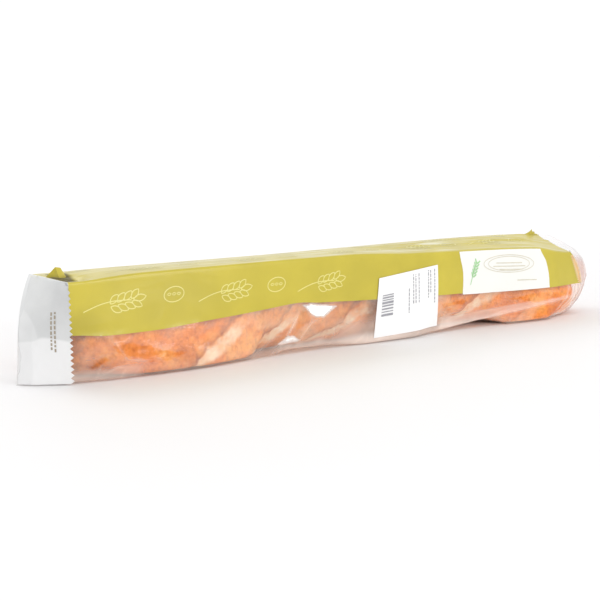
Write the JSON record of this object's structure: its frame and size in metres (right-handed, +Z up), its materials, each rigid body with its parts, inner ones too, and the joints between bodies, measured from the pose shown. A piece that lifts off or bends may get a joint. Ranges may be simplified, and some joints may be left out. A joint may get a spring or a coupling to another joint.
{
  "type": "packed baguette",
  "caption": "Long baguette sealed in a film bag with a printed upper half, a clear window along the lower half, folded zigzag-cut end fins and a stuck-on label.",
  "frame": {"origin": "centre of the bounding box's base, on the surface the pack lies on", "axes": "+X along the pack, from the end whose fin shows to the far end; -Y is the front with the label; +Z up"},
  "size_m": [0.604, 0.0764, 0.0785],
  "materials": {
    "film_bag": "glossy thin film, printed green above and clear below",
    "label_paper": "smooth satin"
  },
  "bodies": {
    "root": {"pack": "film_bag", "price_label": "label_paper"}
  },
  "joints": []
}
